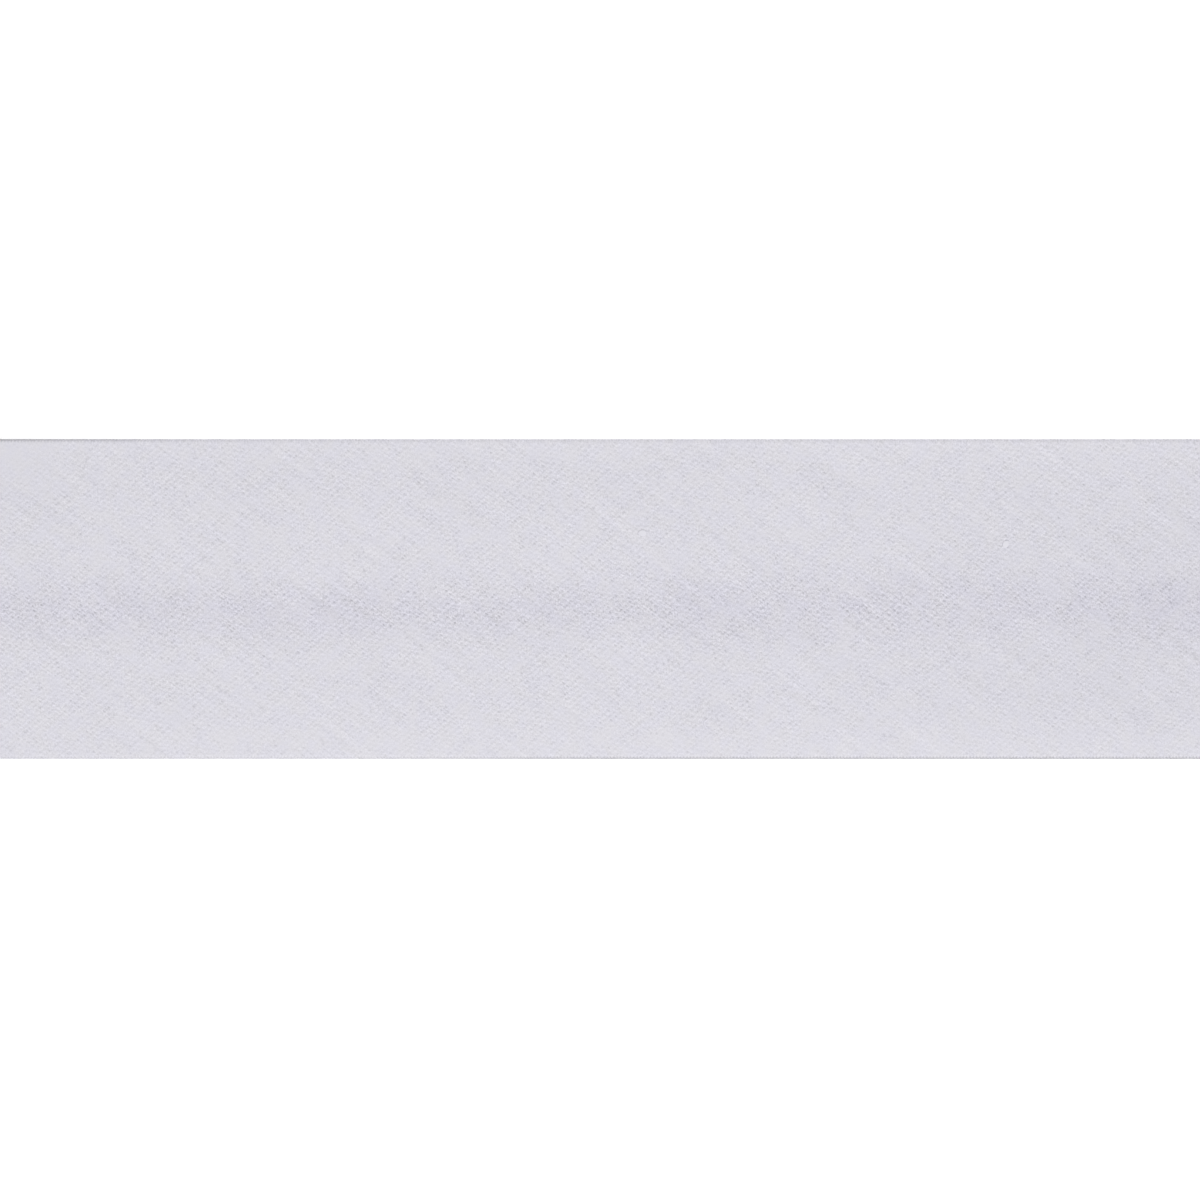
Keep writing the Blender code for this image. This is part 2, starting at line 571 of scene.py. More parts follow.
def rim_points(folds, rng):
    """The strip's flat outline, counter-clockwise, its raw edges a little frayed."""
    columns = np.linspace(-HALF_LENGTH, HALF_LENGTH, round(LENGTH / RIM_COLUMN) + 1)
    near = np.stack([columns, folds.raw_edge(-1, columns)], axis=1)
    far = np.stack([columns, folds.raw_edge(+1, columns)], axis=1)[::-1]
    near[1:-1, 1] += rng.normal(0, RAW_EDGE_FRAY, len(near) - 2)
    far[1:-1, 1] += rng.normal(0, RAW_EDGE_FRAY, len(far) - 2)

    def cut_end(x):
        low, high = (float(folds.raw_edge(side, np.array([x]))[0]) for side in (-1, +1))
        rows = [
            np.linspace(low, -folds.end, round((-folds.end - low) / FLAP_ROW) + 1)[:-1],
            np.linspace(-folds.end, -folds.line, FOLD_STEPS + 1)[:-1],
            np.linspace(-folds.line, folds.line, round(2 * folds.line / FACE_ROW) + 1)[:-1],
            np.linspace(folds.line, folds.end, FOLD_STEPS + 1)[:-1],
            np.linspace(folds.end, high, round((high - folds.end) / FLAP_ROW) + 1),
        ]
        across = np.concatenate(rows)
        end = np.stack([np.full(len(across), x), across], axis=1)
        end[1:-1, 0] -= math.copysign(1, x) * np.abs(rng.normal(0, CUT_END_FRAY, len(end) - 2))
        return end

    right = cut_end(HALF_LENGTH)
    left = cut_end(-HALF_LENGTH)[::-1]
    return np.vstack([near[:-1], right[:-1], far[:-1], left[:-1]])


def fill(rim, inner):
    """Triangles over the rim and the points inside it, as (points, triangles, the rim's points)."""
    places = np.vstack([rim, inner]) / MM
    points, _, faces, sources, _, _ = geometry.delaunay_2d_cdt(
        [Vector(p) for p in places.tolist()], [], [list(range(len(rim)))], 1, 1e-6, True
    )
    at_rim = {i: source for i, found in enumerate(sources) for source in found if source < len(rim)}
    point_of = {source: i for i, source in at_rim.items()}
    kept = [face for face in faces if inside(face, at_rim)]
    return np.array(points) * MM, kept, [point_of[i] for i in range(len(rim))]


def inside(face, at_rim):
    """False for a triangle in a nick of the rim: its corners go round the rim backwards."""
    order = [at_rim.get(corner, -1) for corner in face]
    if -1 in order:
        return True
    lowest = order.index(min(order))
    return order[(lowest + 1) % 3] < order[(lowest + 2) % 3]


def flat_strip(cloth, folds):
    """The cut strip laid flat, as one closed mesh with an outer side, an inner side and a rim between."""
    rim = rim_points(folds, np.random.default_rng(RIM_SEED))
    outer = [weave_points(cloth, folds)]
    rows = np.linspace(-folds.line, folds.line, round(2 * folds.line / INNER_ROW) + 1)[1:-1]
    inner = [grid_points(rows, columns_at(INNER_ROW))]
    for side in (-1, +1):
        outer += [fold_points(folds, side, FOLD_COLUMN), flap_points(folds, side, FLAP_ROW)]
        inner += [fold_points(folds, side, RIM_COLUMN), flap_points(folds, side, INNER_ROW)]
    outer_places, outer_faces, outer_rim = fill(rim, np.vstack(outer))
    inner_places, inner_faces, inner_rim = fill(rim, np.vstack(inner))
    first = len(outer_places)
    faces = [tuple(f) for f in outer_faces]
    faces += [tuple(first + i for i in reversed(f)) for f in inner_faces]
    for i, j in zip(range(len(rim)), [*range(1, len(rim)), 0]):
        faces.append((outer_rim[j], outer_rim[i], first + inner_rim[i], first + inner_rim[j]))
    places = np.vstack([outer_places, inner_places])
    is_outer = np.arange(len(places)) < first
    lift = np.where(is_outer, 0.5, -0.5) * cloth.thickness
    mesh = bpy.data.meshes.new("tape_cloth")
    mesh.from_pydata(np.column_stack([places, lift]).tolist(), [], faces)
    mesh.shade_smooth()
    mesh.set_sharp_from_angle(angle=SHARP_ANGLE)
    add_cloth_map(mesh, places)
    write_marks(mesh, folds.marks(places) | cloth_marks(cloth, folds, places, is_outer))
    return mesh


def add_cloth_map(mesh, places):
    """A UV map that holds each corner's place on the flat cloth, so that the weave follows the folds."""
    corners = np.empty(len(mesh.loops), int)
    mesh.loops.foreach_get("vertex_index", corners)
    layer = mesh.uv_layers.new(name="Cloth")
    layer.uv.foreach_set("vector", (places[corners] / UV_SPAN).ravel())


def slub_marks(cloth, places):
    """How far a thick or a thin stretch of a falling thread lifts each flat place, from -1 to 1."""
    down = np.array([math.cos(cloth.falling_angle), -math.sin(cloth.falling_angle)])
    across = np.array([math.sin(cloth.falling_angle), math.cos(cloth.falling_angle)])
    found = np.zeros(len(places))
    for slub in SLUBS:
        off = places - np.array([slub.x, slub.y]) * MM
        along = off @ down / (slub.length * MM)
        beside = off @ across / cloth.falling_pitch
        taper = smooth(along * SLUB_TAPER) * smooth((1 - along) * SLUB_TAPER)
        found += slub.lift * taper * np.exp(-np.square(beside) * SLUB_NARROWNESS)
    return found


def cloth_marks(cloth, folds, places, is_outer):
    """What the weaving and the cloth's colour read at each flat place."""
    x, s = places[:, 0], places[:, 1]
    over = np.abs(s) < folds.line + folds.radius
    # Where one layer lies over the gap: painted shade of the gap goes there, and the weave shows more
    off_band = along_tape("band_half", x) - np.abs(s - along_tape("band_y", x))
    single = smooth(off_band / (2 * BAND_SLOPE) + 0.5) * over
    turn = np.clip((np.abs(s) - folds.line) / (folds.end - folds.line), 0, 1)
    # Painted shade on each fold's outer turn, where it turns from the light
    line = np.where(s > 0, along_tape("far_line", x), along_tape("near_line", x))
    fold_shade_show = smooth(turn * FOLD_SHADE_RISE - FOLD_SHADE_DELAY) * smooth((1 - turn) * FOLD_SHADE_FALL)
    shade = sum(patch.depth * soft_patch(patch, x, s) for patch in SHADES)
    calm = sum(patch.share * soft_patch(patch, x, s) for patch in CALMS)
    return {
        "woven": smooth((folds.end - np.abs(s)) / (folds.end - folds.line)) * is_outer,
        "gap_shade": single * along_tape("depth", x),
        "fold_shade": line * fold_shade_show,
        "shade": shade * over,
        "crisp": (1 + CRISPER_SINGLE * single) * (1 - calm),
        "slub": slub_marks(cloth, places) * over,
    }


def soft_patch(patch, x, s):
    """1 in the middle of a soft patch, fading to 0 past its reach, at each place in metres."""
    off = np.square((x / MM - patch.x) / patch.reach_x) + np.square((s / MM - patch.y) / patch.reach_y)
    return np.exp(-off)


def write_marks(mesh, marks):
    """Stores named numbers on the mesh's points."""
    for name, values in marks.items():
        layer = mesh.attributes.new(name, "FLOAT", "POINT")
        layer.data.foreach_set("value", np.asarray(values, dtype=np.float32))


def eased(value):
    """A value held between 0 and 1, eased in and out."""
    held = value.held()
    return held * held * (3.0 - held * 2.0)


# How strongly the weave shows where it is faintest and how much more at most, and how many patches of it
# there are to a millimetre, how sharp and how few
FAINTEST_WEAVE = 0.55
WEAVE_RANGE = 0.55
WEAVE_PATCHES = 0.5
WEAVE_SHARPNESS = 2.8
WEAVE_FEWNESS = 0.7


def weave_contrast(nodes, x, s):
    """How strongly the weave shows at a place in millimetres: it nearly fades in soft patches."""
    patches = nodes.noise(x + 40.0, s, WEAVE_PATCHES, 3.0, 0.6)
    return eased(patches * WEAVE_SHARPNESS - WEAVE_FEWNESS) * WEAVE_RANGE + FAINTEST_WEAVE


FOLDING = ("Fold line", "Fold radius", "Rest height", "Unevenness", "Sway")

# How many lumps to a metre the cloth's sideways sway and its slow waves have
SWAY_LUMPS = 110.0
WAVE_LUMPS = 90.0


def folding_values(cloth, folds):
    """The sizes that every piece made on the flat strip folds by."""
    return {
        "Fold line": folds.line,
        "Fold radius": folds.radius,
        "Rest height": cloth.thickness / 2 + cloth.relief,
        "Unevenness": cloth.unevenness,
        "Sway": cloth.sway,
    }


def fold_flat(nodes, flat, given, relief=0.0, stray=(0.0, 0.0)):
    """Lets flat cloth stray a little, turns its long edges under and lets its face dip between them.

    A point's height over the flat strip's middle, with the relief, becomes its height over the folded one.
    """
    x, s, height = nodes.place()
    free = nodes.mark("free")
    sway_x = (nodes.noise(x, s, SWAY_LUMPS, 3.0) - 0.5) * given["Sway"]
    sway_s = (nodes.noise(x + 1.7, s + 2.9, SWAY_LUMPS, 3.0) - 0.5) * given["Sway"]
    swayed_x = x + (sway_x + stray[0]) * free
    swayed_s = s + (sway_s + stray[1]) * free
    waves = (nodes.noise(x, s, WAVE_LUMPS, 1.0) - 0.5) * given["Unevenness"] * free
    past = abs(swayed_s) - given["Fold line"]
    half_turn = given["Fold radius"] * math.pi
    turn = (past / half_turn).held() * math.pi
    back = (past - half_turn).at_least(0.0)
    arm = given["Fold radius"] + height + relief
    y = swayed_s.sign() * (abs(swayed_s).at_most(given["Fold line"]) + turn.sine() * arm - back)
    z = given["Rest height"] + given["Fold radius"] + turn.cosine() * arm + waves - nodes.mark("dip")
    position = nodes.vector(swayed_x, y, z)
    return nodes.add("GeometryNodeSetPosition", inputs={"Geometry": flat, "Position": position}).outputs[0]


# How high, as shares of the weave's relief, threads crown along their length and where one passes over
# another, how far a crossing leans down its slope, and how far a slub stands up
CROWN_LIFT = 0.2
OVER_LIFT = 0.8
LEAN = 0.25
SLUB_LIFT = 0.6

# How unlike each other crossings are in height, and how far threads stray sideways, as shares of their pitch
CROSSING_CHANCE = 0.9
LEAST_FULLNESS = 0.05
RISING_STRAY = 0.5
FALLING_STRAY = 0.6

# How far apart chance is read for one thread and the next, and how slowly it changes along a thread
RISING_APART = 3.7
FALLING_APART = 4.3
STRAY_PACE = 0.03
FULLNESS_PACE = 0.05

# Where the weave's mark is above this, each facet of it catches the light by itself
FACETED_ABOVE = 0.9


def fold_and_weave_tree():
    """The tree that turns the flat strip's long edges under and raises its weave."""
    weaving = ("Relief", "Rising angle", "Falling angle", "Rising pitch", "Falling pitch")
    inputs = {label: "NodeSocketFloat" for label in FOLDING + weaving} | {"Material": "NodeSocketMaterial"}
    nodes, cloth, given = new_geometry_tree("Fold and weave", inputs)
    x, s, _ = nodes.place()
    rising_cosine, rising_sine = given["Rising angle"].cosine(), given["Rising angle"].sine()
    falling_cosine, falling_sine = given["Falling angle"].cosine(), given["Falling angle"].sine()
    rising = (s * rising_cosine - x * rising_sine) / given["Rising pitch"]
    falling = (s * falling_cosine + x * falling_sine) / given["Falling pitch"]
    crowns = (rising.crowned() + falling.crowned()) * CROWN_LIFT
    over_under = (rising * math.pi).cosine() * (falling * math.pi).cosine()
    lean = (rising * math.pi).sine() * (falling * math.pi).sine() * LEAN
    rising_row, falling_row = (rising * 2.0).whole(), (falling * 2.0).whole()
    rising_chance = nodes.noise(rising_row * RISING_APART, falling * STRAY_PACE, 1.0, 1.0) - 0.5
    falling_chance = nodes.noise(falling_row * FALLING_APART, rising * STRAY_PACE, 1.0, 1.0) - 0.5
    rising_stray = rising_chance * given["Rising pitch"] * RISING_STRAY
    falling_stray = falling_chance * given["Falling pitch"] * FALLING_STRAY
    stray = (
        falling_stray * falling_sine - rising_stray * rising_sine,
        falling_stray * falling_cosine + rising_stray * rising_cosine,
    )
    thread_fullness = nodes.noise(rising_row * RISING_APART, falling * FULLNESS_PACE, 1.0)
    fullness = nodes.chance(rising_row, falling_row) * CROSSING_CHANCE + thread_fullness + LEAST_FULLNESS
    contrast = weave_contrast(nodes, x / MM, s / MM) * nodes.mark("crisp")
    raised = (crowns + (over_under - lean) * OVER_LIFT) * fullness * contrast
    woven = nodes.mark("woven")
    relief = (raised + nodes.mark("slub") * SLUB_LIFT) * given["Relief"] * woven
    folded = fold_flat(nodes, cloth, given, relief, stray)
    on_face = nodes.add(
        "FunctionNodeCompare", {"data_type": "FLOAT", "operation": "GREATER_THAN"},
        {0: woven, 1: FACETED_ABOVE},
    )
    faceted = nodes.add(
        "GeometryNodeSetShadeSmooth", {"domain": "FACE"},
        {"Geometry": folded, "Selection": on_face.outputs[0], "Shade Smooth": False},
    )
    return close_geometry_tree(nodes, faceted.outputs[0], given["Material"])


def new_material(name):
    """A material with one shader and nothing fed to it yet, as (material, nodes, shader)."""
    material = bpy.data.materials.new(name)
    material.use_nodes = True
    material.node_tree.nodes.clear()
    nodes = Nodes(material.node_tree)
    shader = nodes.add("ShaderNodeBsdfPrincipled")
    nodes.add("ShaderNodeOutputMaterial", inputs={"Surface": shader.outputs[0]})
    return material, nodes, shader


# Streaks along the threads: how many lumps to a thread across them and along them, where the noise is read,
# its detail and roughness, and by what share of the cloth's tone the streaks change it
Streaks = namedtuple("Streaks", "across along shift detail spread tone")
RISING_STREAKS = Streaks(across=0.9, along=0.04, shift=50.0, detail=0.0, spread=0.5, tone=0.018)
FALLING_STREAKS = Streaks(across=0.62, along=0.05, shift=0.0, detail=1.0, spread=0.8, tone=0.029)
FINE_STREAKS = Streaks(across=1.5, along=0.04, shift=20.0, detail=0.0, spread=0.5, tone=0.10)

# By what share of the cloth's tone each other cause changes it
# Painted shading of the threads' round backs: lighter on their crowns, darker between them
RISING_CROWN_TONE = 0.014
FALLING_CROWN_TONE = 0.006
CROSSING_TONE = 0.10
# Painted shade in the hollows between threads
HOLLOW_SHADE_TONE = 0.17
FIBRE_TONE = 0.38
PATCH_TONE = 0.008
SLUB_TONE = 0.03
# Painted shade and painted light of the broad patches
SHADE_TONE = 0.045

# How round a thread's back is, how far it rises and sinks along its length, and how deep the bump of both is
THREAD_ROUNDNESS = 3.6
THREAD_WAVE = 0.55
BUMP_DEPTH = 0.008 * MM

# How many lumps to a millimetre broad patches and single fibres have
PATCH_LUMPS = 0.33
FIBRE_LUMPS = 9.0

# The two casts between which patches of the cloth vary, as shares of its colour, how many patches there are
# to a millimetre, how sharp and how few, and how far the painted shade patches go towards the cool one
WARM_CAST = (1.006, 1.004, 0.992)
COOL_CAST = (0.994, 0.995, 1.009)
CAST_PATCHES = 0.7
CAST_SHARPNESS = 3.0
CAST_FEWNESS = 1.0
SHADE_CAST = 0.33

# How full the painted shade of the gap under the one layer is, and how broad patches and streaks break it up
GAP_SHADE_SHOW = 1.05
GAP_SHADE_PATCHES = 1.2
GAP_SHADE_STREAKS = 0.8

# Cotton's gloss and nap
ROUGHNESS = 0.9
SPECULAR = 0.25
SHEEN = 0.12
SHEEN_ROUGHNESS = 0.5


def streaks(nodes, kind, across, along):
    """Noise stretched along one set of threads, from about -0.5 to 0.5."""
    place = (across * kind.across, along * kind.along + kind.shift)
    return nodes.noise(*place, 1.0, kind.detail, kind.spread) - 0.5


def cloth_material(cloth):
    """White plain-woven cotton with uneven threads, painted shade in the hollows between threads, painted
    shade where one layer lies over the gap between the raw edges, and painted shade on the folds.
    """
    material, nodes, shader = new_material("Binding cloth")
    u, v, _ = nodes.parts(nodes.add("ShaderNodeUVMap", {"uv_map": "Cloth"}).outputs[0])
    x, s = u * (UV_SPAN / MM), v * (UV_SPAN / MM)
    axes = (thread_axes(cloth) * MM).tolist()
    rising, falling = (x * per_x + s * per_s for per_x, per_s in axes)
    rising_thread, falling_thread = rising.whole(), falling.whole()
    rising_side, falling_side = rising - rising_thread, falling - falling_thread

    rising_wave = ((falling + rising_thread) * math.pi).cosine() * THREAD_WAVE
    falling_wave = ((rising + falling_thread) * math.pi).cosine() * -THREAD_WAVE
    rising_back = (1.0 - rising_side * rising_side * THREAD_ROUNDNESS).root()
    falling_back = (1.0 - falling_side * falling_side * THREAD_ROUNDNESS).root()
    height = (rising_back + rising_wave).at_least(falling_back + falling_wave)
    ridge, across = rising.crowned(), falling.crowned()
    hollow = (1.0 - ridge) * (1.0 - across) * 0.25
    crown = (1.0 + ridge) * (1.0 + across) * 0.25

    falling_streaks = streaks(nodes, FALLING_STREAKS, falling, rising)
    crossing = nodes.chance(rising_thread, falling_thread) - 0.5
    # Painted shade in the hollows between four threads, deeper in some than others
    hollow_shade_chance = nodes.chance((rising + 0.5).whole() + 7.0, (falling + 0.5).whole())
    hollow_shade_depth = hollow_shade_chance * hollow_shade_chance * hollow_shade_chance
    patch = nodes.noise(x, s, PATCH_LUMPS, 3.0) - 0.5
    contrast = weave_contrast(nodes, x, s) * nodes.attribute("crisp")
    # Painted shading of the round threads and painted shade in their hollows, with a chance tone on each
    # crossing
    weave = (
        ridge * RISING_CROWN_TONE + across * FALLING_CROWN_TONE
        + crown * crossing * CROSSING_TONE - hollow * hollow_shade_depth * HOLLOW_SHADE_TONE
    )
    threads = (
        streaks(nodes, RISING_STREAKS, rising, falling) * RISING_STREAKS.tone
        + falling_streaks * FALLING_STREAKS.tone
        + streaks(nodes, FINE_STREAKS, falling, rising) * FINE_STREAKS.tone
    )
    fibre = (nodes.noise(x, s, FIBRE_LUMPS, 1.0) - 0.5) * FIBRE_TONE
    shade = nodes.attribute("shade")
    tone = (
        (weave + threads + fibre) * contrast + patch * PATCH_TONE
        + nodes.attribute("slub") * SLUB_TONE - shade * SHADE_TONE
    )

    cast_patches = nodes.noise(x, s + 30.0, CAST_PATCHES, 3.0)
    cast = eased(cast_patches * CAST_SHARPNESS - CAST_FEWNESS) + shade * SHADE_CAST
    two_layers, gap_shaded = (
        nodes.mixed(cast, scaled(colour, WARM_CAST), scaled(colour, COOL_CAST))
        for colour in (cloth.colour, cloth.gap_shade_colour)
    )
    # Painted shade of the gap under the one layer, broken up by patches and streaks
    broken_up = 1.0 + patch * GAP_SHADE_PATCHES + falling_streaks * GAP_SHADE_STREAKS
    single = (nodes.attribute("gap_shade") * broken_up * GAP_SHADE_SHOW).held()
    base = nodes.mixed(single, two_layers, gap_shaded)
    # Painted shade mixed in along the folds
    fold_shaded = nodes.mixed(nodes.attribute("fold_shade").held(), base, (*cloth.fold_shade_colour, 1.0))
    nodes.feed(shader.inputs["Base Color"], nodes.toned(fold_shaded, 1.0 + tone))
    bump = nodes.add(
        "ShaderNodeBump", inputs={"Strength": 1.0, "Distance": BUMP_DEPTH, "Height": height * contrast}
    )
    nodes.feed(shader.inputs["Normal"], bump.outputs[0])
    dress_cotton(shader)
    return material


def scaled(colour, shares):
    """A colour with each part scaled by its share, as four numbers."""
    return (*(part * share for part, share in zip(colour, shares)), 1.0)


def dress_cotton(shader):
    """The gloss and nap that all cotton here has."""
    shader.inputs["Roughness"].default_value = ROUGHNESS
    shader.inputs["Specular IOR Level"].default_value = SPECULAR
    shader.inputs["Sheen Weight"].default_value = SHEEN
    shader.inputs["Sheen Roughness"].default_value = SHEEN_ROUGHNESS


# The darkest and brightest tone of loose fibre as shares of the cloth's, how many lumps to a metre it has,
# and how much lighter what is marked so is. Lint is painted lighter than the cloth, and the curl is marked
# lighter still, as painted light that offsets the shadow it casts on the cloth
THREAD_TONES = (0.86, 1.06)
LINT_TONES = (1.00, 1.11)
TONE_LUMPS = 2400.0
LIGHTER = 0.10


def fibre_material(cloth, tones):
    """Loose cotton fibre, a little uneven, between these shares of the cloth's own tone."""
    material, nodes, shader = new_material("Loose fibre")
    where = nodes.add("ShaderNodeTexCoord").outputs["Object"]
    uneven = nodes.value(
        "ShaderNodeTexNoise", inputs={"Vector": where, "Scale": TONE_LUMPS, "Detail": 2.0}
    )
    dim, bright = (scaled(cloth.colour, (tone, tone, tone)) for tone in tones)
    fibre = nodes.mixed(uneven, dim, bright)
    # Painted light: what is marked is brightened to offset the shadow it casts on the cloth
    lift = 1.0 + nodes.attribute("lighter") * LIGHTER
    nodes.feed(shader.inputs["Base Color"], nodes.toned(fibre, lift))
    dress_cotton(shader)
    return material


class BIASTAPE_OT_lay_cloth(bpy.types.Operator):
    """Cut the strip, turn its long edges under and raise its weave"""

    bl_idname = "bias_tape.lay_cloth"
    bl_label = "Lay the cloth"

    def execute(self, context):
        cloth = context.scene.bias_cloth
        folds = Folds(cloth)
        piece = new_piece("tape_cloth", flat_strip(cloth, folds))
        run_tree(piece, fold_and_weave_tree(), folding_values(cloth, folds) | {
            "Relief": cloth.relief,
            "Rising angle": cloth.rising_angle,
            "Falling angle": cloth.falling_angle,
            "Rising pitch": cloth.rising_pitch,
            "Falling pitch": cloth.falling_pitch,
            "Material": cloth_material(cloth),
        })
        settle(piece)
        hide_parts("tape")
        return {"FINISHED"}


# How many steps along a raw edge its threads' ends are looked for in
EDGE_STEPS = 2001


def thread_ends(cloth, folds):
    """Where the threads of both sets end on the rim, each with its heading, as (flat places, headings)."""
    found = []
    axes = thread_axes(cloth)
    slopes = (cloth.rising_angle, -cloth.falling_angle)
    for (per_x, per_s), slope in zip(axes, slopes):
        ahead = np.array([math.cos(slope), math.sin(slope)])
        for end in (-1, +1):
            x = end * HALF_LENGTH
            reach = [float(folds.raw_edge(side, np.array([x]))[0]) for side in (-1, +1)]
            counts = sorted(per_x * x + per_s * s for s in reach)
            threads = np.arange(math.ceil(counts[0]), math.floor(counts[1]) + 1)
            across = (threads - per_x * x) / per_s
            found.append((np.column_stack([np.full(len(across), x), across]), end * ahead))
        for side in (-1, +1):
            x = np.linspace(-HALF_LENGTH, HALF_LENGTH, EDGE_STEPS)
            raw = folds.raw_edge(side, x)
            counts = per_x * x + per_s * raw
            order = np.argsort(counts)
            threads = np.arange(math.ceil(counts.min()), math.floor(counts.max()) + 1)
            along = np.interp(threads, counts[order], x[order])
            out = ahead * side * math.copysign(1, ahead[1])
            found.append((np.column_stack([along, folds.raw_edge(side, along)]), out))
    places = np.vstack([p for p, _ in found])
    headings = np.concatenate([np.full(len(p), math.atan2(out[1], out[0])) for p, out in found])
    return places, headings


def jostled(nodes, shape, push, lumps, shares, lift=0.0):
    """Moves each point by chance, and lifts it.

    The lumps of chance to a metre, and the shares of push, are given for x, y and z.
    """
    x, s, _ = nodes.place()
    read_at = ((x, s), (x + 5.0, s), (x, s + 5.0))
    move_x, move_y, move_z = (
        (nodes.noise(*place, scale, 1.0) - 0.5) * push * share
        for place, scale, share in zip(read_at, lumps, shares)
    )
    offset = nodes.vector(move_x, move_y, move_z + lift)
    return nodes.add("GeometryNodeSetPosition", inputs={"Geometry": shape, "Offset": offset}).outputs[0]


def close_fibre_tree(nodes, shape, given):
    """Folds loose fibre with the cloth, shades it smooth and ends its tree."""
    folded = fold_flat(nodes, shape, given)
    smoothed = nodes.add("GeometryNodeSetShadeSmooth", inputs={"Geometry": folded, "Shade Smooth": True})
    return close_geometry_tree(nodes, smoothed.outputs[0], given["Material"])


# A thread end reaches from this far inside the cut, in its own lengths, and tapers by this share to its tip
END_ROOT = -0.4
END_TAPER = 0.7
END_STEPS = 5
END_SIDES = 5

# The least and the most that thread ends are: of their mean length, of their radius, and off their heading
END_LENGTHS = (0.35, 1.65)
END_WIDTHS = (0.6, 1.1)
END_HEADINGS = (-0.35, 0.35)
WIDTH_SEED = 3
HEADING_SEED = 5

# How many bends to a metre thread ends have, and how far they bend, as shares of their mean length
END_LUMPS = (1900.0, 1900.0, 1500.0)
END_BENDS = (1.1, 1.1, 0.35)


def thread_end_tree():
    """The tree that stands a short, bent, tapered thread on each point and folds it with the cloth."""
    inputs = {label: "NodeSocketFloat" for label in (*FOLDING, "Length", "Radius")}
    inputs |= {"Seed": "NodeSocketInt", "Material": "NodeSocketMaterial"}
    nodes, points, given = new_geometry_tree("Thread ends", inputs)
    line = nodes.add("GeometryNodeCurvePrimitiveLine", inputs={"Start": (END_ROOT, 0, 0), "End": (1, 0, 0)})
    steps = nodes.add("GeometryNodeResampleCurve", inputs={"Curve": line.outputs[0], "Count": END_STEPS})
    along = nodes.value("GeometryNodeSplineParameter")
    kept = nodes.stored(steps.outputs[0], "along", along)
    thread = nodes.tube(kept, END_SIDES, 1.0 - along * along * END_TAPER)
    length = nodes.drawn(*END_LENGTHS, given["Seed"]) * given["Length"]
    width = nodes.drawn(*END_WIDTHS, WIDTH_SEED) * given["Radius"]
    heading = nodes.mark("heading") + nodes.drawn(*END_HEADINGS, HEADING_SEED)
    stood = nodes.add("GeometryNodeInstanceOnPoints", inputs={
        "Points": points,
        "Instance": thread,
        "Rotation": nodes.turned(heading),
        "Scale": nodes.vector(length, width, width),
    })
    real = nodes.add("GeometryNodeRealizeInstances", inputs={"Geometry": stood.outputs[0]})
    along_end = nodes.mark("along")
    push = along_end * along_end * given["Length"]
    bent = jostled(nodes, real.outputs[0], push, END_LUMPS, END_BENDS)
    return close_fibre_tree(nodes, bent, given)


def points_piece(name, folds, places, marks):
    """A piece that is only points on the flat strip, with their marks."""
    mesh = bpy.data.meshes.new(name)
    mesh.from_pydata(np.column_stack([places, np.zeros(len(places))]).tolist(), [], [])
    write_marks(mesh, folds.marks(places) | marks)
    return new_piece(name, mesh)


class BIASTAPE_OT_fray_cuts(bpy.types.Operator):
    """Stand the loose end of each thread on the cut ends and the raw edges"""

    bl_idname = "bias_tape.fray_cuts"
    bl_label = "Fray the cuts"

    def execute(self, context):
        cloth, trim = context.scene.bias_cloth, context.scene.bias_trim
        folds = Folds(cloth)
        places, headings = thread_ends(cloth, folds)
        piece = points_piece("thread_ends", folds, places, {"heading": headings})
        run_tree(piece, thread_end_tree(), folding_values(cloth, folds) | {
            "Length": trim.end_length,
            "Radius": trim.end_radius,
            "Seed": trim.seed,
            "Material": fibre_material(cloth, THREAD_TONES),
        })
        settle(piece)
        return {"FINISHED"}


# A hair's arc in its own lengths, standing on the cloth, and the least and the most that hairs are of their
# mean length
HAIR_ARC = {"Start": (0, 0, -0.05), "Middle": (0.25, 0.3, 0.28), "End": (1, 0.1, 0.16)}
HAIR_LENGTHS = (0.5, 1.5)
HAIR_STEPS = 4
HAIR_SIDES = 3
TURN_SEED = 9
LENGTH_SEED = 11


def hair_tree():
    """The tree that scatters short curved hairs over the cloth it is given, and leaves only the hairs."""
    inputs = {label: "NodeSocketFloat" for label in ("Density", "Length", "Radius")}
    inputs |= {"Seed": "NodeSocketInt", "Material": "NodeSocketMaterial"}
    nodes, cloth, given = new_geometry_tree("Surface hairs", inputs)
    scattered = nodes.add(
        "GeometryNodeDistributePointsOnFaces", {"distribute_method": "RANDOM"},
        {"Mesh": cloth, "Density": given["Density"], "Seed": given["Seed"]},
    )
    arc = nodes.add("GeometryNodeCurveQuadraticBezier", inputs={"Resolution": HAIR_STEPS} | HAIR_ARC)
    hair = nodes.tube(arc.outputs[0], HAIR_SIDES, given["Radius"] / given["Length"])
    turn = nodes.add("FunctionNodeRotateRotation", {"rotation_space": "LOCAL"}, {
        "Rotation": scattered.outputs["Rotation"],
        "Rotate By": nodes.turned(nodes.drawn(-math.pi, math.pi, TURN_SEED)),
    })
    size = nodes.drawn(*HAIR_LENGTHS, LENGTH_SEED) * given["Length"]
    stood = nodes.add("GeometryNodeInstanceOnPoints", inputs={
        "Points": scattered.outputs["Points"],
        "Instance": hair,
        "Rotation": turn.outputs[0],
        "Scale": nodes.vector(size, size, size),
    })
    return close_geometry_tree(nodes, stood.outputs[0], given["Material"])


# What lies on top of the tape faces up by at least this share, this far over the fold's middle
TOP_FACES_UP = 0.3
TOP_CLEAR = 0.2 * MM


